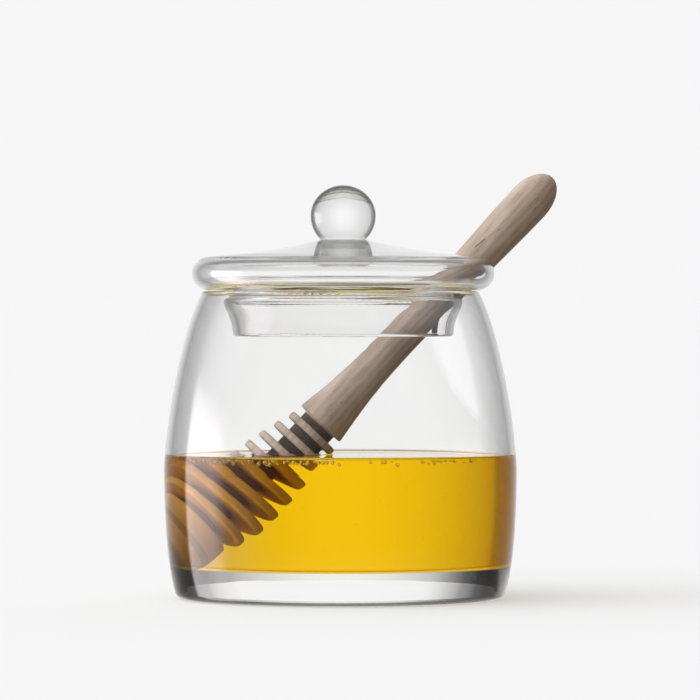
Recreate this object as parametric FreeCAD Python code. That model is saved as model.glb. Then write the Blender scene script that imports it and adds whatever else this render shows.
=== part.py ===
"""Glass honey pot with a blown lid, filled with honey, and a turned wooden dipper.

Millimetres, +Z up. The origin is the centre of the jar's flat underside, on the jar's
axis. The dipper leans to the right (+X) and a little to the back (+Y).

Pieces, one solid each:
  jar     heavy-based barrel of clear glass with a fire-polished rim
  honey   fills the jar up to its level, round the sunken part of the dipper
  lid     thin blown shell with a rolled rim, a collar below it and a ball knob,
          with a ground slot that lets the dipper's handle out
  dipper  turned from one piece of wood: ribbed head, waisted handle, round end
"""
import FreeCAD, Part
import math
import os

Vector = FreeCAD.Vector

# ---------------------------------------------------------------- driving sizes
# jar
jar_height = 92.0
belly_radius = 52.95
belly_height = 38.2
rim_radius = 40.75           # to the middle of the rim's round
shoulder_lean = 26.6         # degrees that the wall leans in at the rim
foot_radius = 49.2
foot_lean = 18.3             # degrees that the wall leans out at the foot
foot_rounding = 2.3
wall = 2.3
base_thickness = 9.8
floor_rounding = 1.6

# honey
honey_level = 42.5

# lid
lid_wall = 1.9
lid_sideways = 0.8           # how far the loose lid has settled to the right
rim_roll_radius = 5.05       # round of the rolled rim, outside
rim_overhang = 4.6           # how far the rolled rim stands out past the middle of the jar's rim
dome_slope = 6.5             # degrees of the dome where it runs into the rolled rim
crown_rise = 15.2            # from the seat to the foot of the knob
crease_radius = 33.4
crease_drop = 1.3            # crease below the seat
ridge_radius = 35.9
ridge_drop = 3.3
collar_mouth_radius = 33.1
collar_length = 13.0
knob_radius = 9.8
knob_top_rise = 9.2          # the fire has flattened the ball's top a little
knob_neck_radius = 6.7
knob_root_radius = 7.9       # bead of the knob's root, inside the dome
knob_root_depth = 4.9

# dipper, measured along its own axis from the centre of its ball end
ball_end_radius = 11.6
ball_end_land = 3.4          # straight part behind the ball end
rib_count = 7
rib_thickness = 2.3
groove_width = 2.75
core_radius = 5.7
rib_edge_rounding = 0.7
widest_rib_radius = 13.9
widest_rib_station = 12.4
first_rib_radius = 8.6       # the rib next to the handle
handle_foot_radius = 7.95
handle_waist_radius = 5.28
handle_waist_length = 36.0   # from the handle's lower end to its waist
handle_swell_radius = 6.3
handle_swell_length = 92.0
handle_length = 102.4
handle_foot_rounding = 0.5

# where the dipper stands and leans
ball_end_x = -34.5
ball_end_y = 2.5
lean_y = 8.3                 # where on the jar's rim the handle rests

# fits
seat_gap = 0.15              # between pieces that rest on each other
slot_clearance = 0.9         # round the handle in the lid's slot

ROUND = 0.5523               # pole share that makes a cubic curve a quarter ellipse

# ---------------------------------------------------------------- worked-out sizes
rim_round = wall / 2.0 * math.cos(math.radians(shoulder_lean))    # the rim is a full round
rim_ring_height = jar_height - rim_round
seat_height = jar_height + seat_gap
roll_radius_centre = rim_radius + rim_overhang - rim_roll_radius
roll_height_centre = seat_height + rim_roll_radius
crown_height = seat_height + crown_rise
rib_pitch = rib_thickness + groove_width
handle_start = ball_end_land + rib_count * rib_pitch + groove_width


# ---------------------------------------------------------------- drawing helpers
def at(radius, height):
    """A point of a profile: its distance from the axis, and its height."""
    return Vector(radius, 0.0, height)


def line(start, end):
    return Part.makeLine(start, end)


def curve(*poles):
    """A Bezier edge through its first and last pole, pulled towards the others."""
    bezier = Part.BezierCurve()
    bezier.setPoles(list(poles))
    return bezier.toShape()


def arc(start, middle, end):
    return Part.Arc(start, middle, end).toShape()


def quarter(start, corner, end):
    """A quarter ellipse from start to end, bulging towards the corner."""
    near_start = start + (corner - start) * ROUND
    near_end = end + (corner - end) * ROUND
    return curve(start, near_start, near_end, end)


def profile_face(edges):
    return Part.Face(Part.Wire(Part.__sortEdges__(edges)))


def turned(face):
    """The solid turned about the Z axis from a closed profile."""
    solid = face.revolve(Vector(0, 0, 0), Vector(0, 0, 1), 360)
    if solid.Volume < 0:
        solid.reverse()
    return solid


def polar(centre, radius, degrees):
    """A point on a circle of the profile plane; 0 degrees is outwards, 90 is up."""
    angle = math.radians(degrees)
    return centre + at(radius * math.cos(angle), radius * math.sin(angle))


# ---------------------------------------------------------------- jar and honey
def barrel_side(inset):
    """The jar's outer side, or with the wall as inset its inner side, from foot to rim.

    It is two curves that meet upright at the belly: a short full one down to the foot
    and a long one up to where the round of the rim starts.
    """
    lean = math.radians(shoulder_lean)
    rim_ring = at(rim_radius, rim_ring_height)
    offset = (wall / 2.0 - inset) * math.cos(lean)
    shoulder = rim_ring + at(math.cos(lean), math.sin(lean)) * offset
    belly = at(belly_radius - inset, belly_height)
    foot = at(foot_radius - inset, 0.0)
    foot_pull = 0.202 * belly_height
    shoulder_pull = 0.276 * (shoulder.z - belly_height)
    side_down = curve(
        foot,
        foot + at(foot_pull * math.tan(math.radians(foot_lean)), foot_pull),
        belly - at(0.0, 0.40 * belly_height),
        belly)
    side_up = curve(
        belly,
        belly + at(0.0, 0.153 * (shoulder.z - belly_height)),
        shoulder + at(shoulder_pull * math.tan(lean), -shoulder_pull),
        shoulder)
    return foot, [side_down, side_up], shoulder


def inside_face(low, high):
    """Half the section of the jar's inside, between two heights."""
    foot, side, shoulder = barrel_side(wall)
    top = at(0.0, shoulder.z)
    whole = profile_face([line(at(0, 0), foot)] + side
                         + [line(shoulder, top), line(top, at(0, 0))])
    band = Part.makePlane(2.0 * belly_radius, high - low, at(0.0, low),
                          Vector(0, -1, 0), Vector(1, 0, 0))
    return whole.common(band).Faces[0]


def circles_at(solid, height):
    """The solid's circular edges at that height."""
    return [edge for edge in solid.Edges
            if isinstance(edge.Curve, Part.Circle) and abs(edge.Curve.Center.z - height) < 0.01]


def make_jar():
    foot, side, shoulder = barrel_side(0.0)
    inner_shoulder = barrel_side(wall)[2]
    lean = math.radians(shoulder_lean)
    rim_ring = at(rim_radius, rim_ring_height)
    rim_tip = rim_ring + at(-math.sin(lean), math.cos(lean)) * rim_round
    top = at(0.0, inner_shoulder.z)
    filled = profile_face([line(at(0, 0), foot)] + side
                          + [arc(shoulder, rim_tip, inner_shoulder),
                             line(inner_shoulder, top), line(top, at(0, 0))])
    section = filled.cut(inside_face(base_thickness, 2.0 * jar_height))
    body = turned(section.Faces[0])
    body = body.makeFillet(foot_rounding, circles_at(body, 0.0))
    return body.makeFillet(floor_rounding, circles_at(body, base_thickness)).Solids[0]


def make_honey(dipper):
    filling = turned(inside_face(base_thickness, honey_level))
    filling = filling.makeFillet(floor_rounding, circles_at(filling, base_thickness))
    return filling.cut(dipper).Solids[0]


# ---------------------------------------------------------------- dipper
def rib_radius(station):
    """The head's outline: widest at one station, falling off with the power 1.5."""
    above = station > widest_rib_station
    if above:
        span = handle_start - groove_width - rib_thickness / 2.0 - widest_rib_station
        fall = widest_rib_radius - first_rib_radius
    else:
        span = widest_rib_station - ball_end_land / 2.0
        fall = widest_rib_radius - ball_end_radius
    share = abs(station - widest_rib_station) / span
    return widest_rib_radius - fall * share ** 1.5


def rib_outline(bottom, radius):
    """Edges of one rib from the core, out round its rounded edge and back to the core."""
    top = bottom + rib_thickness
    flat = radius - rib_edge_rounding
    return [line(at(core_radius, bottom), at(flat, bottom)),
            quarter(at(flat, bottom), at(radius, bottom), at(radius, bottom + rib_edge_rounding)),
            line(at(radius, bottom + rib_edge_rounding), at(radius, top - rib_edge_rounding)),
            quarter(at(radius, top - rib_edge_rounding), at(radius, top), at(flat, top)),
            line(at(flat, top), at(core_radius, top))]


def handle_curves():
    """The handle's side: a curve in to the waist, one out to the swell, a round end."""
    rounding = handle_foot_rounding
    foot = at(handle_foot_radius, handle_start + rounding)
    waist = at(handle_waist_radius, handle_start + handle_waist_length)
    swell = at(handle_swell_radius, handle_start + handle_swell_length)
    end = at(0.0, handle_start + handle_length)
    climb = swell.z - waist.z
    to_waist = curve(
        foot,
        foot + at(-1.25, 0.27 * handle_waist_length),
        waist - at(0.0, 0.55 * handle_waist_length),
        waist)
    to_swell = curve(
        waist,
        waist + at(0.0, 0.62 * climb),
        swell - at(0.0, 0.25 * climb),
        swell)
    round_end = quarter(swell, at(swell.x, end.z), end)
    return foot, [to_waist, to_swell, round_end]


def make_dipper_upright():
    """The dipper with its axis on Z and the centre of its ball end at the origin."""
    ball_low = polar(at(0, 0), ball_end_radius, -45.0)
    rounding = rib_edge_rounding
    flat = ball_end_radius - rounding
    edges = [arc(at(0.0, -ball_end_radius), ball_low, at(ball_end_radius, 0.0)),
             line(at(ball_end_radius, 0.0), at(ball_end_radius, ball_end_land - rounding)),
             quarter(at(ball_end_radius, ball_end_land - rounding),
                     at(ball_end_radius, ball_end_land), at(flat, ball_end_land)),
             line(at(flat, ball_end_land), at(core_radius, ball_end_land))]
    groove_bottom = ball_end_land
    for index in range(rib_count):
        rib_bottom = ball_end_land + index * rib_pitch + groove_width
        edges.append(line(at(core_radius, groove_bottom), at(core_radius, rib_bottom)))
        edges += rib_outline(rib_bottom, rib_radius(rib_bottom + rib_thickness / 2.0))
        groove_bottom = rib_bottom + rib_thickness
    foot, side = handle_curves()
    under_edge = at(foot.x - handle_foot_rounding, handle_start)
    edges.append(line(at(core_radius, groove_bottom), at(core_radius, handle_start)))
    edges.append(line(at(core_radius, handle_start), under_edge))
    edges.append(quarter(under_edge, at(foot.x, handle_start), foot))
    edges += side
    edges.append(line(at(0.0, handle_start + handle_length), at(0.0, -ball_end_radius)))
    return turned(profile_face(edges))


def handle_radius_at(station):
    """The handle's radius at a distance along the axis, found by halving the interval."""
    waist_station = handle_start + handle_waist_length
    side = handle_curves()[1][0 if station < waist_station else 1].Curve
    low, high = 0.0, 1.0
    for _ in range(40):
        middle = (low + high) / 2.0
        if side.value(middle).z < station:
            low = middle
        else:
            high = middle
    return side.value(low).x


def dipper_lean():
    """Where the ball end's centre is, and how the dipper leans from there.

    The ball end stands on the jar's floor. The handle rests on the round of the rim,
    so its axis passes the rim's ring at the handle's radius plus the rim's round.
    """
    centre = Vector(ball_end_x, ball_end_y, base_thickness + seat_gap + ball_end_radius)
    ring_x = math.sqrt(rim_radius ** 2 - lean_y ** 2)
    reach = Vector(ring_x, lean_y, rim_ring_height) - centre
    across = math.hypot(reach.x, reach.y)
    distance = reach.Length
    room = handle_radius_at(distance) + rim_round + seat_gap
    elevation = math.degrees(math.atan2(reach.z, across) + math.asin(room / distance))
    bearing = math.degrees(math.atan2(reach.y, reach.x))
    return centre, elevation, bearing


def leaned(shape):
    """A shape drawn upright about the dipper's axis, put where the dipper leans."""
    centre, elevation, bearing = dipper_lean()
    shape.rotate(Vector(0, 0, 0), Vector(0, 1, 0), 90.0 - elevation)
    shape.rotate(Vector(0, 0, 0), Vector(0, 0, 1), bearing)
    shape.translate(centre)
    return shape


# ---------------------------------------------------------------- lid
def lid_skin(inset):
    """One skin of the blown shell, from the crown down to the collar's mouth.

    With inset 0 it is the outside; with the wall as inset it is the inside. The skin
    runs down the dome, round the rolled rim, in under it to the crease, out over the
    ridge and down the collar.
    """
    roll_centre = at(roll_radius_centre, roll_height_centre)
    roll = rim_roll_radius - inset
    crown = at(knob_neck_radius, crown_height - inset)
    dome_end = polar(roll_centre, roll, 90.0 - dome_slope)
    roll_bottom = polar(roll_centre, roll, -90.0)
    crease = at(crease_radius - inset, seat_height - crease_drop)
    ridge = at(ridge_radius - inset, seat_height - ridge_drop)
    mouth = at(collar_mouth_radius - inset, seat_height - collar_length)

    dome_span = dome_end.x - crown.x
    dome = curve(
        crown,
        crown + at(0.30 * dome_span, -0.30 * dome_span * math.tan(math.radians(12.5))),
        dome_end + at(-0.35 * dome_span, 0.35 * dome_span * math.tan(math.radians(dome_slope))),
        dome_end)
    rolled_rim = arc(dome_end, polar(roll_centre, roll, 0.0), roll_bottom)
    under_span = roll_bottom.x - crease.x
    under = curve(
        roll_bottom,
        roll_bottom - at(0.60 * under_span, 0.0),
        at(crease.x, roll_bottom.z),
        crease)
    flare_drop = crease.z - ridge.z
    flare = curve(
        crease,
        crease - at(0.0, 0.5 * flare_drop),
        ridge + at(0.0, 0.5 * flare_drop),
        ridge)
    collar_drop = ridge.z - mouth.z
    collar = curve(
        ridge,
        ridge - at(0.0, 0.25 * collar_drop),
        mouth + at(0.35, 0.55 * collar_drop),
        mouth)
    return [dome, rolled_rim, under, flare, collar], crown, mouth


def make_shell():
    outside, outer_crown, outer_mouth = lid_skin(0.0)
    inside, inner_crown, inner_mouth = lid_skin(lid_wall)
    mouth_bottom = (outer_mouth + inner_mouth) * 0.5 - at(0.0, lid_wall / 2.0)
    mouth_edge = arc(outer_mouth, mouth_bottom, inner_mouth)
    axis_top = at(0.0, outer_crown.z)
    axis_bottom = at(0.0, inner_crown.z)
    closing = [line(axis_top, outer_crown), line(inner_crown, axis_bottom),
               line(axis_bottom, axis_top)]
    return turned(profile_face(outside + [mouth_edge] + inside + closing))


def make_knob():
    """The solid ball: a true sphere below its widest circle, a little flattened above.

    The sphere meets the crown at the neck. Below the crown the knob's root shows
    through the dome as a bead over a small flange.
    """
    neck_drop = math.sqrt(knob_radius ** 2 - knob_neck_radius ** 2)
    centre = at(0.0, crown_height + neck_drop)
    widest = centre + at(knob_radius, 0.0)
    top = centre + at(0.0, knob_top_rise)
    neck = at(knob_neck_radius, crown_height)
    neck_angle = -math.degrees(math.atan2(neck_drop, knob_neck_radius))
    low = polar(centre, knob_radius, neck_angle / 2.0)
    root_bottom = crown_height - knob_root_depth
    bead = at(knob_root_radius, crown_height - 0.45 * knob_root_depth)
    waist = at(knob_neck_radius, crown_height - 0.72 * knob_root_depth)
    flange = at(knob_root_radius + 0.6, root_bottom)
    edges = [quarter(top, at(widest.x, top.z), widest),
             arc(widest, low, neck),
             curve(neck, at(bead.x, neck.z - 0.4), bead),
             curve(bead, at(bead.x, waist.z + 0.2), waist),
             curve(waist, at(waist.x, root_bottom + 0.3), flange),
             line(flange, at(0.0, root_bottom)),
             line(at(0.0, root_bottom), top)]
    return turned(profile_face(edges))


def make_slot_cutter():
    """A slot ground along the handle: round above it, and open outwards below it.

    It is drawn upright round the handle's axis, like the dipper, and leaned with it.
    """
    top_station = (crown_height - dipper_lean()[0].z) / math.sin(math.radians(dipper_lean()[1]))
    half = handle_radius_at(top_station) + slot_clearance
    low = top_station - 4.0 * collar_length
    length = 6.0 * collar_length
    outwards = 2.0 * rim_radius
    round_side = Part.makeCylinder(half, length, Vector(0, 0, low))
    open_side = Part.makeBox(outwards, 2.0 * half, length, Vector(0, -half, low))
    return leaned(round_side.fuse(open_side).removeSplitter())


def make_lid():
    lid = make_shell().fuse(make_knob()).removeSplitter()
    lid.translate(Vector(lid_sideways, 0, 0))
    return lid.cut(make_slot_cutter()).Solids[0]


# ---------------------------------------------------------------- build
dipper = leaned(make_dipper_upright())
pieces = {
    "jar": make_jar(),
    "honey": make_honey(dipper),
    "lid": make_lid(),
    "dipper": dipper,
}

os.makedirs("parts", exist_ok=True)
for name, shape in pieces.items():
    box = shape.BoundBox
    print(f"{name}: solids {len(shape.Solids)}, valid {shape.isValid()}, "
          f"volume {shape.Volume / 1000.0:.2f} cm3, x {box.XMin:.1f}..{box.XMax:.1f}, "
          f"y {box.YMin:.1f}..{box.YMax:.1f}, z {box.ZMin:.1f}..{box.ZMax:.1f}")
    shape.exportStep(f"parts/{name}.step")

centre, elevation, bearing = dipper_lean()
print(f"dipper leans {elevation:.2f} degrees up, towards {bearing:.2f} degrees")
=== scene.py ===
"""The honey pot's looks: clear glass jar and lid, golden honey, and a bare wooden dipper.

Metres, +Z up, the origin at the centre of the jar's flat underside. The glass and the wood
are the part's own solids. The honey is made here again, so that it wets the glass and climbs
a little where it touches something, and its bubbles are added.
"""
import math

import bpy
import numpy as np
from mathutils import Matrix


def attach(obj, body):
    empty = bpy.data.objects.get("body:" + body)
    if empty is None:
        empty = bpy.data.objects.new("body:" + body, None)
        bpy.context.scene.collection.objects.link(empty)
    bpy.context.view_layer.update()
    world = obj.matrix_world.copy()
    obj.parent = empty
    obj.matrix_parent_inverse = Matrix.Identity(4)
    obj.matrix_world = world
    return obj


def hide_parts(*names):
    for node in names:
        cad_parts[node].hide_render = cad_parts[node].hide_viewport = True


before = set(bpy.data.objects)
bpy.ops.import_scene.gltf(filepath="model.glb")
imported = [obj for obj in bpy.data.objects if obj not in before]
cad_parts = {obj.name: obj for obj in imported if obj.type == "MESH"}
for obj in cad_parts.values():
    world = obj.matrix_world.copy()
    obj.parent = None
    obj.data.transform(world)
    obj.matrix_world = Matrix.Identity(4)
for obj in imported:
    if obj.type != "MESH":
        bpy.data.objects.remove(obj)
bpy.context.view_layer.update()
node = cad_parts

MM = 0.001

# ---------------------------------------------------------------- sizes from the part, in mm
JAR_HEIGHT = 92.0
WALL = 2.3
FLOOR = 9.8                  # top of the jar's thick base
FLOOR_ROUNDING = 1.6         # where the inside turns from the floor into the wall
FOOT_RADIUS = 49.2
FOOT_LEAN = math.radians(18.3)
FOOT_PULL = 7.716            # how far the side's curve is held to the foot's lean
BELLY_RADIUS = 52.95
BELLY_HEIGHT = 38.2
RIM_RADIUS = 40.75
SHOULDER_LEAN = math.radians(26.6)
HONEY_LEVEL = 42.5

BALL_CENTRE = np.array([-34.5, 2.5, 21.55])     # centre of the dipper's ball end
BALL_RADIUS = 11.6
BALL_LAND = 3.4              # straight part behind the ball end
RIB_COUNT = 7
RIB_THICKNESS = 2.3
GROOVE_WIDTH = 2.75
CORE_RADIUS = 5.7
WIDEST_RIB = 13.9            # a radius, as RIB_BY_HANDLE is
WIDEST_STATION = 12.4        # along the dipper's axis from BALL_CENTRE, as all stations are
RIB_BY_HANDLE = 8.6
HANDLE_START = 41.5
HANDLE_RADIUS = 7.5          # roughly, as no honey reaches it
DIPPER_ELEVATION = math.radians(46.69)
DIPPER_BEARING = math.radians(4.46)
DIPPER_AXIS = np.array([math.cos(DIPPER_ELEVATION) * math.cos(DIPPER_BEARING),
                        math.cos(DIPPER_ELEVATION) * math.sin(DIPPER_BEARING),
                        math.sin(DIPPER_ELEVATION)])

# ---------------------------------------------------------------- sizes of the honey, in mm
MENISCUS = 0.9               # how far the honey climbs the glass in front
MENISCUS_BEHIND = 0.25
CLIMB_ON_WOOD = 0.75
CLIMB_REACH = 0.8            # over this distance the climb falls to a third
SINK = 0.15                  # how far it reaches into the wall, so no air shows between
FLOOR_SINK = 0.01            # and into the floor


# ---------------------------------------------------------------- small tools
def paint(code):
    """A colour written as sRGB hex, turned to the linear one that shaders use."""
    parts = [int(code[i:i + 2], 16) / 255.0 for i in (1, 3, 5)]
    linear = [p / 12.92 if p <= 0.04045 else ((p + 0.055) / 1.055) ** 2.4 for p in parts]
    return (*linear, 1.0)


def add(tree, kind, feeds=None, stops=(), give=0, **settings):
    """Adds a node and returns one of its outputs, the one that give names.

    Settings are its properties, feeds the value or another node's output for each input, and
    stops the places and hex colours of a colour ramp.
    """
    made = tree.nodes.new(kind)
    for name, value in settings.items():
        setattr(made, name, value)
    for name, value in (feeds or {}).items():
        if isinstance(value, bpy.types.NodeSocket):
            tree.links.new(value, made.inputs[name])
        else:
            made.inputs[name].default_value = value
    if stops:
        line = made.color_ramp.elements
        line.remove(line[-1])
        line[0].position, line[0].color = stops[0][0], paint(stops[0][1])
        for place, code in stops[1:]:
            line.new(place).color = paint(code)
    return made.outputs[give]


COLOURS = {"give": 2, "data_type": "RGBA"}      # for a Mix node: 0 share, 6 first, 7 second
WHITE = (1.0, 1.0, 1.0, 1.0)


def new_material(name):
    """An empty material with its tree and output."""
    made = bpy.data.materials.new(name)
    made.use_nodes = True
    made.node_tree.nodes.clear()
    return made, made.node_tree, made.node_tree.nodes.new("ShaderNodeOutputMaterial")


def new_piece(name, points, faces, materials, face_material=None):
    """A smooth mesh piece that rides on the pot, from points in mm and faces."""
    mesh = bpy.data.meshes.new(name)
    mesh.from_pydata((points * MM).tolist(), [], faces)
    for item in materials:
        mesh.materials.append(item)
    if face_material is not None:
        mesh.polygons.foreach_set("material_index", np.asarray(face_material, np.int32))
    mesh.polygons.foreach_set("use_smooth", np.ones(len(mesh.polygons), bool))
    mesh.update()
    made = bpy.data.objects.new(name, mesh)
    bpy.context.scene.collection.objects.link(made)
    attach(made, "root")
    return made


def dress(name, material):
    """Gives a solid of the part its material."""
    mesh = node[name].data
    mesh.materials.clear()
    mesh.materials.append(material)


def undarkened(tree, painted_darkening):
    """The painted shade for what is looked at, and none for rays that bring light."""
    depth = add(tree, "ShaderNodeLightPath", give="Diffuse Depth")
    carried = add(tree, "ShaderNodeMath", {0: depth, 1: 0.5}, operation="GREATER_THAN")
    return add(tree, "ShaderNodeMix", {0: carried, 6: painted_darkening, 7: WHITE}, **COLOURS)


# ---------------------------------------------------------------- camera
camera = bpy.data.objects.new("camera", bpy.data.cameras.new("camera"))
bpy.context.scene.collection.objects.link(camera)
bpy.context.scene.camera = camera
camera.data.sensor_width = 36.0
camera.data.lens = 277.7
camera.data.clip_start = 0.1
camera.data.clip_end = 100.0
camera.location = (0.00285, -1.620, 0.09075)
camera.rotation_euler = (math.radians(90.0 - 0.583), 0.0, 0.0)

# ---------------------------------------------------------------- studio
BACKGROUND = paint("#f6f6f6")
LIGHT = 1.05                 # how much light falls on the table, where 1 shows its own colour
LAMP_TINT = (1.024, 0.996, 0.951)               # the red, green and blue in it
LAMP_SCALE = LIGHT / 1.012   # the strengths below would give the table 1.012

KEY_TOWARDS = (-0.75, -0.25, 0.62)              # the soft lamp up on the left
KEY = 2.6
KEY_INSIDE = 2.0             # times as strong for what stands in the jar
BACK_TOWARDS = (0.0, 1.0, 0.1)                  # a weaker, wider one behind
BACK = 1.0
FILL = (0.224, 0.196, 0.150)                    # red, green and blue from all round
FILL_INSIDE = (0.050, 0.036, 0.022)             # and what is left of it in the jar
FROM_BELOW = 0.24            # what the white table throws up

BEHIND = 1.0                 # the wall behind as glass shows it
BACK_WALL = 0.88             # the same wall where glass mirrors it
REST_OF_ROOM = 0.08
CEILING = 0.35
TABLE = 0.80
INSIDE = 0.30                # the least light that mirroring inside the glass meets
SOFT_BOX = (4.0, 3.65, 3.75)                    # red, green and blue
SOFT_BOX_INSIDE = 0.35       # its share once a ray has been inside the glass
SOFT_BOX_START = -121.0      # bearings in degrees from the camera's side, to the left
SOFT_BOX_END = -86.0
SPILL_END = -62.0            # a weaker share of it reaches as far as this
SOFT_BOX_RISE = (-0.7, 0.16)                    # lowest and highest, as sines
SHADOW_SOFTENING = 0.5       # how much of the table's shade is taken out of its shadows
TABLE_TO_OBJECT = (0.24, 0.21, 0.17, 1.0)       # the table's colour as matt things meet it

scene = bpy.context.scene
scene.view_settings.view_transform = "Standard"
scene.cycles.max_bounces = 64            # light runs along inside the lid's thin glass
scene.cycles.glossy_bounces = 40
scene.cycles.transmission_bounces = 64


def dot_lobe(tree, direction, towards, power, strength):
    """strength x (how far the direction points towards the lamp, 0 to 1) ^ power."""
    length = math.sqrt(sum(v * v for v in towards))
    aim = tuple(v / length for v in towards)
    dot = add(tree, "ShaderNodeVectorMath", {0: direction, 1: aim}, give="Value",
              operation="DOT_PRODUCT")
    lit = add(tree, "ShaderNodeMath", {0: dot, 1: 0.0}, operation="MAXIMUM")
    fall = add(tree, "ShaderNodeMath", {0: lit, 1: power}, operation="POWER")
    return add(tree, "ShaderNodeMath", {0: fall, 1: strength}, operation="MULTIPLY")


def box_mask(tree, turn, rise, end, softness):
    """1 inside the soft box, from SOFT_BOX_START to the bearing end, with soft edges."""
    mask = None
    for value, edge, soft in ((turn, math.radians(SOFT_BOX_START), 0.04),
                              (turn, math.radians(end), -softness),
                              (rise, SOFT_BOX_RISE[0], 0.1), (rise, SOFT_BOX_RISE[1], -0.06)):
        side = add(tree, "ShaderNodeMapRange", {"Value": value, "From Min": edge - soft,
                   "From Max": edge + soft, "To Min": 0.0, "To Max": 1.0},
                   interpolation_type="SMOOTHSTEP")
        mask = side if mask is None else add(tree, "ShaderNodeMath", {0: mask, 1: side},
                                             operation="MULTIPLY")
    return mask


def build_lamps(tree, direction, rise, through_glass):
    """What lights the object: a soft lamp up on the left, and a weak warm fill all round.

    Inside the jar the lamp is as bright as outside, and the white table shines in.
    """
    key = dot_lobe(tree, direction, KEY_TOWARDS, 3.0, KEY * LAMP_SCALE)
    gain = add(tree, "ShaderNodeMapRange", {"Value": through_glass, "To Min": 1.0,
               "To Max": KEY_INSIDE})
    back = dot_lobe(tree, direction, BACK_TOWARDS, 2.0, BACK * LAMP_SCALE)
    lamps = add(tree, "ShaderNodeMath", {0: key, 1: gain, 2: back}, operation="MULTIPLY_ADD")
    fill = add(tree, "ShaderNodeMix", {
        0: through_glass, 6: (*(v * LAMP_SCALE for v in FILL), 1.0),
        7: (*(v * LAMP_SCALE for v in FILL_INSIDE), 1.0)}, **COLOURS)
    below = add(tree, "ShaderNodeMapRange", {"Value": rise, "From Min": -0.05,
                "From Max": -0.35, "To Min": 0.0, "To Max": FROM_BELOW})
    lamps = add(tree, "ShaderNodeMath", {0: lamps, 1: below}, operation="ADD")
    white = add(tree, "ShaderNodeCombineColor", {0: lamps, 1: lamps, 2: lamps})
    return add(tree, "ShaderNodeVectorMath", {0: white, 1: fill}, operation="ADD")


def build_mirrored_room(tree, direction, xyz, path):
    """What glass shows of the room when it mirrors.

    A pale wall behind, a pale table below, a grey ceiling, and a low soft box on the left
    whose light falls off gently to the right.
    """
    forwards = add(tree, "ShaderNodeMath", {0: xyz[1], 1: -1.0}, operation="MULTIPLY")
    turn = add(tree, "ShaderNodeMath", {0: xyz[0], 1: forwards}, operation="ARCTAN2")
    rise = xyz[2]
    spill = add(tree, "ShaderNodeMath", {0: box_mask(tree, turn, rise, SPILL_END, 0.42),
                1: 0.20}, operation="MULTIPLY")
    softbox = add(tree, "ShaderNodeMath", {0: box_mask(tree, turn, rise, SOFT_BOX_END, 0.14),
                  1: 0.80, 2: spill}, operation="MULTIPLY_ADD")
    wall = dot_lobe(tree, direction, (0.0, 1.0, 0.0), 6.0, BACK_WALL)
    room = add(tree, "ShaderNodeMath", {0: wall, 1: REST_OF_ROOM}, operation="ADD")
    for value, low, high, strength in ((rise, 0.25, 0.9, CEILING), (rise, -0.15, -0.6, TABLE),
                                       (path["Transmission Depth"], 0.0, 1.0, INSIDE)):
        part = add(tree, "ShaderNodeMapRange", {"Value": value, "From Min": low,
                   "From Max": high, "To Min": 0.0, "To Max": strength})
        room = add(tree, "ShaderNodeMath", {0: room, 1: part}, operation="MAXIMUM")
    outside = add(tree, "ShaderNodeMapRange", {"Value": path["Transmission Depth"],
                  "To Min": 1.0, "To Max": SOFT_BOX_INSIDE})
    softbox = add(tree, "ShaderNodeMath", {0: softbox, 1: outside}, operation="MULTIPLY")
    mirror = [add(tree, "ShaderNodeMath", {0: softbox, 1: strength, 2: room},
                  operation="MULTIPLY_ADD") for strength in SOFT_BOX]
    return add(tree, "ShaderNodeCombineColor", dict(enumerate(mirror)))


def build_studio():
    """The room: even pale surroundings behind, softer light from the upper left."""
    world = bpy.data.worlds.new("studio")
    scene.world = world
    world.use_nodes = True
    tree = world.node_tree
    tree.nodes.clear()
    out = tree.nodes.new("ShaderNodeOutputWorld")
    path = add(tree, "ShaderNodeLightPath").node.outputs
    direction = add(tree, "ShaderNodeTexCoord", give="Generated")
    xyz = add(tree, "ShaderNodeSeparateXYZ", {0: direction}).node.outputs
    light = build_lamps(tree, direction, xyz[2], path["Is Transmission Ray"])
    mirror = build_mirrored_room(tree, direction, xyz, path)

    # first hits only: past a matt surface the same rays bring light, so they see the lamps
    first = add(tree, "ShaderNodeMath", {0: path["Diffuse Depth"], 1: 0.5},
                operation="LESS_THAN")
    unmirrored = add(tree, "ShaderNodeMath", {0: path["Glossy Depth"], 1: 0.5},
                     operation="LESS_THAN")
    seen = add(tree, "ShaderNodeMath", {0: path["Is Camera Ray"],
               1: path["Is Transmission Ray"]}, operation="MAXIMUM")
    inside = add(tree, "ShaderNodeMath", {0: path["Is Glossy Ray"], 1: seen},
                 operation="MAXIMUM")
    mirrored = add(tree, "ShaderNodeMath", {0: inside, 1: first}, operation="MULTIPLY")
    seen = add(tree, "ShaderNodeMath", {0: seen, 1: first}, operation="MULTIPLY")
    seen = add(tree, "ShaderNodeMath", {0: seen, 1: unmirrored}, operation="MULTIPLY")

    lit = add(tree, "ShaderNodeMix", {0: mirrored, 6: light, 7: mirror}, **COLOURS)
    behind = add(tree, "ShaderNodeMix", {0: path["Is Camera Ray"],
                 6: (BEHIND, BEHIND, BEHIND, 1.0), 7: BACKGROUND}, **COLOURS)
    shown = add(tree, "ShaderNodeMix", {0: seen, 6: lit, 7: behind}, **COLOURS)
    background = add(tree, "ShaderNodeBackground", {"Color": shown, "Strength": 1.0})
    tree.links.new(background, out.inputs["Surface"])


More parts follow.
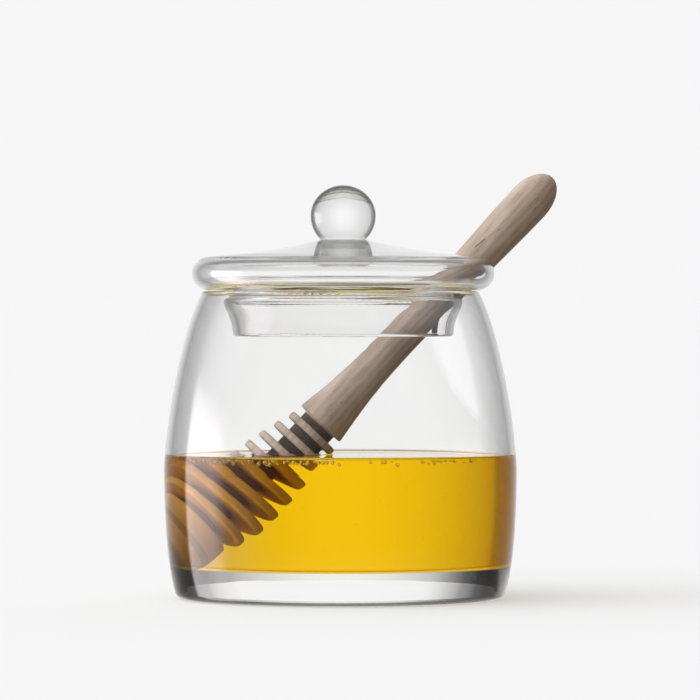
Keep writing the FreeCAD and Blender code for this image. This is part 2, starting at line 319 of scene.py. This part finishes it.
def matt_table():
    """A matt pale table top: the background's own colour, so that no horizon shows.

    It keeps the pot's shadow, softened. Glass that mirrors doesn't meet it, because the
    room above has its own table for that.
    """
    material, tree, out = new_material("matt pale table")
    path = add(tree, "ShaderNodeLightPath").node.outputs
    own = (*(BACKGROUND[0] / (LIGHT * share) for share in LAMP_TINT), 1.0)
    tone = add(tree, "ShaderNodeMix", {0: path["Is Diffuse Ray"], 6: own,
               7: TABLE_TO_OBJECT}, **COLOURS)
    matt = add(tree, "ShaderNodeBsdfDiffuse", {"Color": tone})
    clear = add(tree, "ShaderNodeBsdfTransparent")
    pale = add(tree, "ShaderNodeEmission", {"Color": BACKGROUND})
    seen = add(tree, "ShaderNodeMath", {0: path["Is Camera Ray"],
               1: path["Is Transmission Ray"]}, operation="MAXIMUM")
    softer = add(tree, "ShaderNodeMath", {0: seen, 1: SHADOW_SOFTENING},
                 operation="MULTIPLY")
    table = add(tree, "ShaderNodeMixShader", {0: softer, 1: matt, 2: pale})
    shown = add(tree, "ShaderNodeMixShader", {0: path["Is Glossy Ray"], 1: table, 2: clear})
    tree.links.new(shown, out.inputs["Surface"])
    return material


build_studio()

# a round table, 60 m from its middle to its edge, 0.3 mm below the jar
floor_mesh = bpy.data.meshes.new("floor")
ring = np.linspace(0.0, 2.0 * np.pi, 97)[:-1]
floor_mesh.from_pydata([(60.0 * math.cos(a), 60.0 * math.sin(a), -0.3 * MM) for a in ring], [],
                       [list(range(96))])
floor = bpy.data.objects.new("floor", floor_mesh)
scene.collection.objects.link(floor)
floor_mesh.materials.append(matt_table())

# ---------------------------------------------------------------- glass
# painted shade on the glass, as it turns from facing the eye, 0, to edge on, 1: it darkens the
# edges in place of the dark room that real glass shows there
CLEAR_EDGE_SHADE = ((0.0, "#ffffff"), (0.42, "#fdfdfd"), (0.50, "#f6f6f6"), (0.58, "#e8e8e8"),
               (0.66, "#dadada"), (1.0, "#d0d0d0"))
# stronger painted shade: for the jar's thick base and foot, the lid as a whole (RIM), and the
# lid's dome, knob root and solid ball
THICK_BASE = ((0.0, "#fbfbfb"), (0.17, "#f4f4f4"), (0.25, "#b0b0b0"), (0.33, "#606060"),
              (0.43, "#202020"), (0.52, "#101010"), (0.64, "#141414"), (0.76, "#404040"),
              (1.0, "#909090"))
FOOT = ((0.0, "#8c8c8c"), (0.6, "#5c5c5c"), (1.0, "#808080"))
RIM = ((0.0, "#ffffff"), (0.50, "#fafafa"), (0.75, "#e4e4e4"), (0.90, "#b8b8b8"),
       (1.0, "#8c8c8c"))
DOME = ((0.0, "#ffffff"), (0.80, "#f9f9f9"), (0.88, "#d8d8d8"), (0.95, "#a8a8a8"),
        (1.0, "#606060"))
KNOB_ROOT = ((0.0, "#ffffff"), (0.80, "#fcfcfc"), (1.0, "#e0e0e0"))
BALL = ((0.0, "#ffffff"), (0.04, "#f6f6f6"), (0.134, "#e4e4e4"), (0.30, "#d8d8d8"),
        (0.44, "#c8c8c8"), (0.52, "#888888"), (0.66, "#404040"), (0.85, "#444444"),
        (1.0, "#585858"))
BASE_SIDE = 46.5             # the base's painted shade lies further out than this, so not underneath
WET_RADIUS = 50.9            # the wetted inside lies within this


def honey_edge(tree, backwards):
    """The height of the honey's edge on the glass, higher in front than behind."""
    return add(tree, "ShaderNodeMapRange", {
        "Value": backwards, "From Min": 0.0, "From Max": -(BELLY_RADIUS - WALL) * MM,
        "To Min": (HONEY_LEVEL + MENISCUS_BEHIND) * MM,
        "To Max": (HONEY_LEVEL + MENISCUS) * MM})


def glass(name, stops, zones, beyond=0.0, wetted=False):
    """Clear soda-lime glass: it bends light, mirrors the room and is painted darker at its edges.

    Zones are parts of the height, (from, to, shift, stops), where the glass is a solid lump
    and the painted shade is stronger, the less so by shift on the lit left. They count only
    further out than beyond. Rays that bring light to the wood and the table pass without
    the painted shade. Where honey wets the inside the surface can't be seen, as both bend
    light alike.
    """
    material, tree, out = new_material(name)
    facing = add(tree, "ShaderNodeLayerWeight", {"Blend": 0.5}, give="Facing")
    # painted shade: the glass is darker the more edge on it is turned
    painted_darkening = add(tree, "ShaderNodeValToRGB", {"Fac": facing}, stops)
    place = add(tree, "ShaderNodeTexCoord", give="Object")
    xyz = add(tree, "ShaderNodeSeparateXYZ", {0: place}).node.outputs
    flat = add(tree, "ShaderNodeVectorMath", {0: place, 1: (1.0, 1.0, 0.0)},
               operation="MULTIPLY")
    across = add(tree, "ShaderNodeVectorMath", {0: flat}, give="Value", operation="LENGTH")
    for start, end, shift, zone_stops in zones:
        left = add(tree, "ShaderNodeMapRange", {"Value": xyz[0], "From Min": -0.04,
                   "From Max": 0.0, "To Min": -shift, "To Max": 0.0})
        leant = add(tree, "ShaderNodeMath", {0: facing, 1: left}, operation="ADD")
        inside = add(tree, "ShaderNodeMapRange", {"Value": xyz[2], "From Min": start * MM,
                     "From Max": end * MM, "To Min": 0.0, "To Max": 1.0})
        if beyond:
            outer = add(tree, "ShaderNodeMapRange", {"Value": across,
                        "From Min": beyond * MM, "From Max": (beyond + 1.0) * MM,
                        "To Min": 0.0, "To Max": 1.0})
            inside = add(tree, "ShaderNodeMath", {0: inside, 1: outer}, operation="MULTIPLY")
        # painted shade, stronger in the solid zones and shifted by side
        darker = add(tree, "ShaderNodeValToRGB", {"Fac": leant}, zone_stops)
        painted_darkening = add(tree, "ShaderNodeMix", {0: inside, 6: painted_darkening, 7: darker}, **COLOURS)
    shown = add(tree, "ShaderNodeBsdfPrincipled",
                {"Base Color": undarkened(tree, painted_darkening), "Roughness": 0.0, "IOR": 1.5,
                 "Transmission Weight": 1.0})
    if wetted:
        wet = add(tree, "ShaderNodeMath", {0: across, 1: WET_RADIUS * MM},
                  operation="LESS_THAN")
        for bound, test in (((FLOOR + 0.06) * MM, "GREATER_THAN"),
                            (honey_edge(tree, xyz[1]), "LESS_THAN")):
            part = add(tree, "ShaderNodeMath", {0: xyz[2], 1: bound}, operation=test)
            wet = add(tree, "ShaderNodeMath", {0: wet, 1: part}, operation="MULTIPLY")
        clear = add(tree, "ShaderNodeBsdfTransparent")
        shown = add(tree, "ShaderNodeMixShader", {0: wet, 1: shown, 2: clear})
    tree.links.new(shown, out.inputs["Surface"])
    return material


dress("jar", glass("blown soda-lime glass with a thick base", CLEAR_EDGE_SHADE,
                   [(9.9, 9.5, 0.08, THICK_BASE), (1.6, 0.5, 0.0, FOOT)],
                   beyond=BASE_SIDE, wetted=True))
dress("lid", glass("thin blown soda-lime glass with a solid ball", RIM,
                   [(100.6, 101.2, -0.12, DOME), (102.8, 103.4, 0.0, KNOB_ROOT),
                    (107.0, 108.4, 0.0, BALL)]))


# ---------------------------------------------------------------- honey
def bezier(poles, steps):
    """A cubic curve's points: the four poles weighted by (1-t)^3, 3t(1-t)^2, 3t^2(1-t), t^3."""
    t = np.linspace(0.0, 1.0, steps)[:, None]
    p = np.asarray(poles, float)
    return ((1 - t) ** 3 * p[0] + 3 * t * (1 - t) ** 2 * p[1]
            + 3 * t ** 2 * (1 - t) * p[2] + t ** 3 * p[3])


def inner_radius(height):
    """The jar's inner radius at a height, read off the two curves that draw its side."""
    foot, belly = np.array([FOOT_RADIUS - WALL, 0.0]), np.array([BELLY_RADIUS - WALL,
                                                                BELLY_HEIGHT])
    low = bezier([foot, foot + [FOOT_PULL * math.tan(FOOT_LEAN), FOOT_PULL],
                  belly - [0.0, 0.40 * BELLY_HEIGHT], belly], 200)
    rim = WALL / 2.0 * math.cos(SHOULDER_LEAN)
    inwards = np.array([math.cos(SHOULDER_LEAN), math.sin(SHOULDER_LEAN)])
    shoulder = np.array([RIM_RADIUS, JAR_HEIGHT - rim]) - inwards * rim
    rise = shoulder[1] - belly[1]
    pull = 0.276 * rise
    high = bezier([belly, belly + [0.0, 0.153 * rise],
                   shoulder + [pull * math.tan(SHOULDER_LEAN), -pull], shoulder], 200)
    side = np.vstack([low, high[1:]])
    return np.interp(height, side[:, 1], side[:, 0])


def dipper_radius(station):
    """The dipper's radius along its axis from the ball end's centre: ribs and grooves.

    A rib's radius is the widest one's less a fall x (distance from it / span) ^ 1.5.
    """
    radius = np.where(station < BALL_LAND, BALL_RADIUS, CORE_RADIUS)
    half = RIB_THICKNESS / 2.0
    for index in range(RIB_COUNT):
        low = BALL_LAND + index * (RIB_THICKNESS + GROOVE_WIDTH) + GROOVE_WIDTH
        apart = low + half - WIDEST_STATION
        if apart > 0.0:
            fall = WIDEST_RIB - RIB_BY_HANDLE
            span = HANDLE_START - GROOVE_WIDTH - half - WIDEST_STATION
        else:
            fall = WIDEST_RIB - BALL_RADIUS
            span = WIDEST_STATION - BALL_LAND / 2.0
        rib = WIDEST_RIB - fall * (abs(apart) / span) ** 1.5
        radius = np.where((station > low) & (station < low + RIB_THICKNESS), rib, radius)
    return np.where(station > HANDLE_START, HANDLE_RADIUS, radius)


def from_dipper(points):
    """Points as stations along the dipper's axis and distances from that axis."""
    apart = points - BALL_CENTRE
    station = apart @ DIPPER_AXIS
    return station, np.sqrt(np.maximum((apart ** 2).sum(-1) - station ** 2, 0.0))


def cling(bearing):
    """How high the honey climbs the glass: little behind, rising to MENISCUS in front."""
    return MENISCUS_BEHIND + (MENISCUS - MENISCUS_BEHIND) * np.clip(-np.sin(bearing), 0.0, 1.0)


def climb(points):
    """How far the honey's surface stands above its level, by what it touches.

    It falls off as exp(-distance / reach) from the wall and from the dipper, whose ribs are
    blurred by half a millimetre each way.
    """
    across = np.hypot(points[:, 0], points[:, 1])
    wall_gap = np.clip(inner_radius(HONEY_LEVEL) - across, 0.0, None)
    rise = cling(np.arctan2(points[:, 1], points[:, 0])) * np.exp(-wall_gap / CLIMB_REACH)
    station, away = from_dipper(np.column_stack([points[:, :2],
                                                 np.full(len(points), HONEY_LEVEL)]))
    near = np.zeros(len(points))
    for shift in (-0.5, 0.0, 0.5):
        gap = np.clip(away - dipper_radius(station + shift), 0.0, None)
        near += np.exp(-gap / CLIMB_REACH) / 3.0
    return rise + CLIMB_ON_WOOD * near


def honey_profile():
    """The honey's outline on one side of the axis, as rows of (radius, height).

    In four runs: from the middle of the floor out, round the corner as part of an ellipse,
    up along the wall, and over the surface to the middle, where the steps grow inwards.
    """
    bottom = FLOOR - FLOOR_SINK
    lean = math.atan((inner_radius(FLOOR + 2.0) - inner_radius(FLOOR)) / 2.0)
    touch = FLOOR + FLOOR_ROUNDING * (1.0 + math.sin(lean))
    middle = inner_radius(touch) - FLOOR_ROUNDING * math.cos(lean)
    out = np.column_stack([np.linspace(0.0, middle, 14), np.full(14, bottom)])[1:-1]
    swing = np.linspace(-math.pi / 2.0, -lean, 10)
    raised = FLOOR + FLOOR_ROUNDING
    corner = np.column_stack([middle + (FLOOR_ROUNDING + SINK) * np.cos(swing),
                              raised + (raised - bottom) * np.sin(swing)])
    heights = np.linspace(corner[-1, 1] + 0.4, HONEY_LEVEL + MENISCUS, 40)
    wall = np.column_stack([inner_radius(heights) + SINK / math.cos(lean), heights])
    edge = inner_radius(HONEY_LEVEL) + SINK
    inwards = edge * (1.0 - np.linspace(0.0, 1.0, 122)[1:-1] ** 1.25)
    top = np.column_stack([inwards, np.full(len(inwards), HONEY_LEVEL)])
    return out, corner, wall, top


def make_honey():
    """The honey: its profile carried round the axis, with the top lifted by climb().

    The wall's rows are spread between the corner and the honey's edge. The third result
    says which faces lie against the wall, 0, at the free surface, 1, and on the floor, 2.
    """
    turns = 480
    out, corner, wall, top = honey_profile()
    profile = np.vstack([out, corner, wall, top])
    first_wall = len(out) + len(corner)
    first_top = first_wall + len(wall)
    angle = np.linspace(0.0, 2.0 * np.pi, turns, endpoint=False)
    points = np.empty((len(profile), turns, 3))
    points[:, :, 0] = profile[:, :1] * np.cos(angle)
    points[:, :, 1] = profile[:, :1] * np.sin(angle)
    points[:, :, 2] = profile[:, 1:]
    low, high = corner[-1, 1], HONEY_LEVEL + MENISCUS
    share = (wall[:, 1:] - low) / (high - low)
    points[first_wall:first_top, :, 2] = low + share * (HONEY_LEVEL + cling(angle) - low)
    surface = points[first_top:].reshape(-1, 3)
    surface[:, 2] += climb(surface)
    points[first_top:] = surface.reshape(-1, turns, 3)
    middle_top = np.array([[0.0, 0.0, HONEY_LEVEL]])
    middle_top[0, 2] += climb(middle_top)[0]
    points = np.vstack([points.reshape(-1, 3), [[0.0, 0.0, out[0, 1]]], middle_top])

    rows, columns = np.meshgrid(np.arange(len(profile) - 1), np.arange(turns), indexing="ij")
    after = (columns + 1) % turns
    quads = np.stack([rows * turns + columns, rows * turns + after,
                      (rows + 1) * turns + after, (rows + 1) * turns + columns], -1)
    here, following = np.arange(turns), (np.arange(turns) + 1) % turns
    last = (len(profile) - 1) * turns
    under = np.stack([following, here, np.full(turns, len(points) - 2)], 1)
    over = np.stack([last + here, last + following, np.full(turns, len(points) - 1)], 1)
    faces = quads.reshape(-1, 4).tolist() + under.tolist() + over.tolist()
    part = np.where(rows >= first_top - 1, 1, np.where(rows < len(out), 2, 0)).reshape(-1)
    return points, faces, np.concatenate([part, np.full(turns, 2), np.full(turns, 1)])


HONEY_SOAKS = (0.9944, 0.907, 0.0, 1.0)         # what is left of red, green and blue
HONEY_DENSITY = 60.0                            # per metre
# painted shade on the honey as it turns from facing the eye, 0, to edge on, 1: browner near the
# sides
PLAIN = ((0.0, "#ffffff"), (1.0, "#ffffff"))
HONEY_EDGE_SHADE = ((0.0, "#ffffff"), (0.072, "#ece8e2"), (0.146, "#d6ccbc"), (0.198, "#c8b498"),
               (0.215, "#a88c64"), (0.26, "#a88c64"), (0.45, "#ffffff"))
HONEY_SURFACE_SHADE = ((0.0, "#ffffff"), (1.0, "#fffaf0"))


def honey_material(name, bend, stops, dark=False):
    """Clear honey, that bends light as given and soaks up blue, then green.

    So it is golden, and deeper in colour where more of it lies behind; the stops paint shade
    on it as it turns edge on. Against the glass, which bends light alike, it bends nothing.
    With dark set, it is painted dark grey where glass mirrors it, a painted reflection that
    the lid's rim shows from above as a thin dark line.
    """
    material, tree, out = new_material(name)
    facing = add(tree, "ShaderNodeLayerWeight", {"Blend": 0.5}, give="Facing")
    # painted shade: the honey darkens as it turns edge on
    painted_darkening = add(tree, "ShaderNodeValToRGB", {"Fac": facing}, stops)
    if dark:
        # painted reflection: dark grey where glass mirrors the honey's free surface
        depth = add(tree, "ShaderNodeLightPath", give="Glossy Depth")
        mirrored = add(tree, "ShaderNodeMath", {0: depth, 1: 0.5}, operation="GREATER_THAN")
        under = add(tree, "ShaderNodeNewGeometry", give="Backfacing")
        mirrored = add(tree, "ShaderNodeMath", {0: mirrored, 1: under},
                       operation="SUBTRACT", use_clamp=True)
        painted_darkening = add(tree, "ShaderNodeMix", {0: mirrored, 6: painted_darkening, 7: paint("#303030")},
                   **COLOURS)
    shader = add(tree, "ShaderNodeBsdfPrincipled",
                 {"Base Color": undarkened(tree, painted_darkening), "Roughness": 0.0, "IOR": bend,
                  "Transmission Weight": 1.0})
    soak = add(tree, "ShaderNodeVolumeAbsorption",
               {"Color": HONEY_SOAKS, "Density": HONEY_DENSITY})
    tree.links.new(shader, out.inputs["Surface"])
    tree.links.new(soak, out.inputs["Volume"])
    return material


points, faces, face_parts = make_honey()
honey = new_piece("honey_fill", points, faces,
                  [honey_material("clear honey against the glass", 1.0, HONEY_EDGE_SHADE),
                   honey_material("clear honey, free surface", 1.49, HONEY_SURFACE_SHADE, dark=True),
                   honey_material("clear honey on the jar's floor", 1.0, PLAIN)], face_parts)
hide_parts("honey")


# ---------------------------------------------------------------- bubbles
def on_dipper(station, turn, above):
    """A point above the dipper's skin: its axis, plus radius x (cos turn, sin turn) across it."""
    side = np.cross(DIPPER_AXIS, [0.0, 0.0, 1.0])
    side /= np.linalg.norm(side)
    rise = np.cross(side, DIPPER_AXIS)
    radius = dipper_radius(np.array([station]))[0] + above
    return BALL_CENTRE + DIPPER_AXIS * station + radius * (math.cos(turn) * side
                                                           + math.sin(turn) * rise)


def place_bubbles():
    """Centres and radii of the bubbles, none of which touches anything.

    They gather in a row where the honey's surface meets the glass in front, then round the
    dipper, on its ribs, and a few hang in the honey.
    """
    chance = np.random.default_rng(5)
    places, sizes = [], []

    def put(point, size):
        free = all(np.linalg.norm(point - other) > size + reach + 0.06
                   for other, reach in zip(places, sizes))
        inside = math.hypot(point[0], point[1]) + size + 0.15 < inner_radius(point[2])
        station, away = from_dipper(point)
        dry = away > dipper_radius(station + np.linspace(-size, size, 5)).max() + size + 0.03
        if free and inside and dry and FLOOR + size + 0.3 < point[2] < HONEY_LEVEL - size - 0.02:
            places.append(point)
            sizes.append(size)

    bearings = np.concatenate([chance.uniform(198.0, 266.0, 150),
                               chance.uniform(266.0, 340.0, 30)])
    for bearing in np.radians(bearings):
        size = chance.uniform(0.26, 0.62)
        across = inner_radius(HONEY_LEVEL) - size - chance.uniform(0.16, 2.4)
        put(np.array([across * math.cos(bearing), across * math.sin(bearing),
                      HONEY_LEVEL - size - chance.choice([0.03, 0.03, 0.1, 0.7])]), size)
    for _ in range(260):
        size = chance.uniform(0.18, 0.42)
        put(np.array([chance.uniform(-34.0, 2.0), chance.uniform(-30.0, 2.0),
                      HONEY_LEVEL - size - chance.uniform(0.04, 0.3)]), size)
        if len(places) > 230:
            break
    for _ in range(70):
        size = chance.uniform(0.14, 0.36)
        put(on_dipper(chance.uniform(6.0, 33.0), chance.uniform(-0.7, 1.2), size + 0.05), size)
    for _ in range(26):
        put(np.array([chance.uniform(-20.0, 44.0), chance.uniform(-40.0, 30.0),
                      chance.uniform(13.0, 41.0)]), chance.uniform(0.09, 0.17))
    return np.array(places), np.array(sizes)


def make_bubbles():
    """Air bubbles: small globes, centre + radius x (sin a cos b, sin a sin b, cos a)."""
    rows, columns = 9, 16
    tilt = np.linspace(0.0, math.pi, rows + 1)[1:-1, None]
    turn = np.linspace(0.0, 2.0 * math.pi, columns, endpoint=False)[None, :]
    globe = np.stack([np.sin(tilt) * np.cos(turn), np.sin(tilt) * np.sin(turn),
                      np.cos(tilt) + 0.0 * turn], -1).reshape(-1, 3)
    globe = np.vstack([globe, [[0.0, 0.0, 1.0], [0.0, 0.0, -1.0]]])
    top, bottom, last = len(globe) - 2, len(globe) - 1, (rows - 2) * columns
    here = np.arange(columns)
    after = (here + 1) % columns
    band = np.arange(rows - 2)[:, None] * columns
    quads = np.stack([band + here, band + columns + here, band + columns + after,
                      band + after], -1).reshape(-1, 4)
    caps = np.vstack([np.stack([np.full(columns, top), here, after], 1),
                      np.stack([np.full(columns, bottom), last + after, last + here], 1)])
    places, sizes = place_bubbles()
    points = (places[:, None, :] + globe * sizes[:, None, None]).reshape(-1, 3)
    starts = (np.arange(len(places)) * len(globe))[:, None, None]
    return points, ((quads + starts).reshape(-1, 4).tolist()
                    + (caps + starts).reshape(-1, 3).tolist())


def bubble_material():
    """Air in honey: smooth beads, nearly clear and a little pale, that bend light weakly."""
    material, tree, out = new_material("air bubbles in honey")
    air = add(tree, "ShaderNodeBsdfPrincipled",
              {"Base Color": paint("#fff6ec"), "Roughness": 0.06, "IOR": 1.2,
               "Transmission Weight": 0.85})
    tree.links.new(air, out.inputs["Surface"])
    return material


points, faces = make_bubbles()
new_piece("bubbles", points, faces, [bubble_material()])

# ---------------------------------------------------------------- wood
# colour of the painted shade in the grooves, round the ball end and at the tip, and of the real
# drying crack
SHADE_AND_CRACK_COLOUR = "#3a2a1e"
GROOVE_SHADE = (9.0, 6.2)    # radii between which the painted shade comes in
HEAD_END = (41.2, 40.8)      # stations where the painted shade on the head ends
BALL_LINE = -3.4             # station of a painted shade line round the ball end, standing for a groove's shade
CRACK_STATION = 114.0        # where the handle leaves the lid


def wood_shade_share(tree, xyz, across):
    """How much painted shade darkens the wood, 0 to 1: in the grooves, on a line and at the tip.
    """
    # painted shade in the grooves, deepest towards the core
    share = add(tree, "ShaderNodeMapRange", {"Value": across, "From Min": GROOVE_SHADE[0] * MM,
                "From Max": GROOVE_SHADE[1] * MM, "To Min": 0.0, "To Max": 0.85})
    head = add(tree, "ShaderNodeMapRange", {"Value": xyz[2], "From Min": HEAD_END[0] * MM,
               "From Max": HEAD_END[1] * MM, "To Min": 0.0, "To Max": 1.0})
    share = add(tree, "ShaderNodeMath", {0: share, 1: head}, operation="MULTIPLY")
    # painted shade: a dark line round the ball end, for the shade of a groove
    from_line = add(tree, "ShaderNodeMath", {0: xyz[2], 1: -BALL_LINE * MM}, operation="ADD")
    from_line = add(tree, "ShaderNodeMath", {0: from_line}, operation="ABSOLUTE")
    line = add(tree, "ShaderNodeMapRange", {"Value": from_line, "From Min": 0.9 * MM,
               "From Max": 1.7 * MM, "To Min": 0.7, "To Max": 0.0})
    # painted shade: the ball end darkens towards its tip
    tip = add(tree, "ShaderNodeMapRange", {"Value": xyz[2], "From Min": 2.0 * MM,
              "From Max": -1.0 * MM, "To Min": 0.0, "To Max": 0.30})
    for part in (line, tip):
        share = add(tree, "ShaderNodeMath", {0: share, 1: part}, operation="MAXIMUM")
    return share


def crack_share(tree, xyz):
    """Where a drying crack shows, 4 mm long and 0.2 mm wide, across the grain a little."""
    along = add(tree, "ShaderNodeMath", {0: xyz[2], 1: -CRACK_STATION * MM}, operation="ADD")
    slanted = add(tree, "ShaderNodeMath", {0: along, 1: -0.12, 2: xyz[0]},
                  operation="MULTIPLY_ADD")
    share = None
    for value, centre, half, soft in ((slanted, -2.7, 0.09, 0.12),
                                      (xyz[2], CRACK_STATION, 1.7, 0.5),
                                      (xyz[1], -7.0, 5.0, 0.5)):
        apart = add(tree, "ShaderNodeMath", {0: value, 1: -centre * MM}, operation="ADD")
        apart = add(tree, "ShaderNodeMath", {0: apart}, operation="ABSOLUTE")
        part = add(tree, "ShaderNodeMapRange", {"Value": apart, "From Min": half * MM,
                   "From Max": (half + soft) * MM, "To Min": 0.85, "To Max": 0.0})
        share = part if share is None else add(tree, "ShaderNodeMath", {0: share, 1: part},
                                               operation="MINIMUM")
    return share


def wood():
    """Bare beech, turned and finely sanded: pale grey-brown, with streaks and fine pores."""
    material, tree, out = new_material("turned bare beech")
    place = add(tree, "ShaderNodeTexCoord", give="Object")
    level = add(tree, "ShaderNodeSeparateXYZ", {0: place}).node.outputs[2]
    # from here on along the dipper: its axis is Z, and the ball end's centre is 0
    place = add(tree, "ShaderNodeMapping",
                {"Vector": place, "Location": tuple(BALL_CENTRE * MM),
                 "Rotation": (0.0, math.pi / 2.0 - DIPPER_ELEVATION, DIPPER_BEARING)},
                vector_type="TEXTURE")
    # fibres 0.3 mm wide and 5 mm long, over growth rings 2 mm apart that the lathe cut through
    lengthways = add(tree, "ShaderNodeMapping", {"Vector": place, "Scale": (1.0, 1.0, 0.06)})
    fibres = add(tree, "ShaderNodeTexNoise",
                 {"Vector": lengthways, "Scale": 3.4 / MM, "Detail": 3.0, "Roughness": 0.6},
                 give="Fac")
    heart = add(tree, "ShaderNodeMapping", {"Vector": place, "Location": (0.018, 0.009, 0.0),
                                            "Scale": (1.0, 1.0, 0.10)})
    rings = add(tree, "ShaderNodeTexWave",
                {"Vector": heart, "Scale": 0.15 / MM, "Distortion": 3.0, "Detail": 2.0,
                 "Detail Scale": 1.5}, give="Fac", wave_type="RINGS", rings_direction="Z")
    lengthways = add(tree, "ShaderNodeMapping", {"Vector": place, "Scale": (1.0, 1.0, 0.35)})
    blotch = add(tree, "ShaderNodeTexNoise",
                 {"Vector": lengthways, "Scale": 0.16 / MM, "Detail": 2.0}, give="Fac")
    tone = add(tree, "ShaderNodeMath", {0: blotch, 1: 0.60}, operation="MULTIPLY")
    for pattern, share in ((rings, 0.12), (fibres, 0.45)):
        tone = add(tree, "ShaderNodeMath", {0: pattern, 1: share, 2: tone},
                   operation="MULTIPLY_ADD")
    bare = add(tree, "ShaderNodeValToRGB", {"Fac": tone},
               ((0.38, "#a28e7e"), (0.58, "#bba89a"), (0.78, "#d0c1b4")))
    # pores are short dark dashes, 0.2 mm wide here so that they show
    lengthways = add(tree, "ShaderNodeMapping", {"Vector": place, "Scale": (1.0, 1.0, 0.18)})
    cells = add(tree, "ShaderNodeTexVoronoi", {"Vector": lengthways, "Scale": 0.7 / MM},
                give="Distance", feature="F1")
    pore = add(tree, "ShaderNodeMapRange", {"Value": cells, "From Min": 0.07, "From Max": 0.16,
               "To Min": 0.55, "To Max": 0.0})
    bare = add(tree, "ShaderNodeMix", {0: pore, 6: bare, 7: paint("#6b543f")}, **COLOURS)
    # painted shade: the grooves between the ribs are darkened, deepest near the core, and a line
    # round the ball end and the tip too; a real drying crack takes the same dark colour
    xyz = add(tree, "ShaderNodeSeparateXYZ", {0: place}).node.outputs
    flat = add(tree, "ShaderNodeCombineXYZ", {0: xyz[0], 1: xyz[1]})
    across = add(tree, "ShaderNodeVectorMath", {0: flat}, give="Value", operation="LENGTH")
    wood_shade = wood_shade_share(tree, xyz, across)
    dark = add(tree, "ShaderNodeMath", {0: wood_shade, 1: crack_share(tree, xyz)},
               operation="MAXIMUM")
    bare = add(tree, "ShaderNodeMix", {0: dark, 6: bare, 7: paint(SHADE_AND_CRACK_COLOUR)}, **COLOURS)
    # under the honey's level the wood is wet through: clear honey, not air, lies in its pores,
    # so its grain hardly shows, and the honey gives it its colour; its own colour is made a
    # pale pink, far lighter than wet wood, as painted light, less of it in the painted shade
    wet = add(tree, "ShaderNodeMapRange", {"Value": level, "From Min": (HONEY_LEVEL + 0.7) * MM,
              "From Max": (HONEY_LEVEL + 0.2) * MM, "To Min": 0.0, "To Max": 1.0})
    filled = add(tree, "ShaderNodeMath", {0: wood_shade, 1: -0.75, 2: 0.9},
                 operation="MULTIPLY_ADD")
    # painted light: the wet wood's colour is lightened to a pale pink
    soaked_and_lightened = add(tree, "ShaderNodeMix", {0: filled, 6: bare, 7: paint("#ffd6f4")}, **COLOURS)
    colour = add(tree, "ShaderNodeMix", {0: wet, 6: bare, 7: soaked_and_lightened}, **COLOURS)
    grain = add(tree, "ShaderNodeBump", {"Strength": 0.25, "Distance": 0.08 * MM,
                                         "Height": fibres})
    shader = add(tree, "ShaderNodeBsdfPrincipled",
                 {"Base Color": colour, "Roughness": 0.62, "Specular IOR Level": 0.3,
                  "Normal": grain})
    tree.links.new(shader, out.inputs["Surface"])
    return material


dress("dipper", wood())
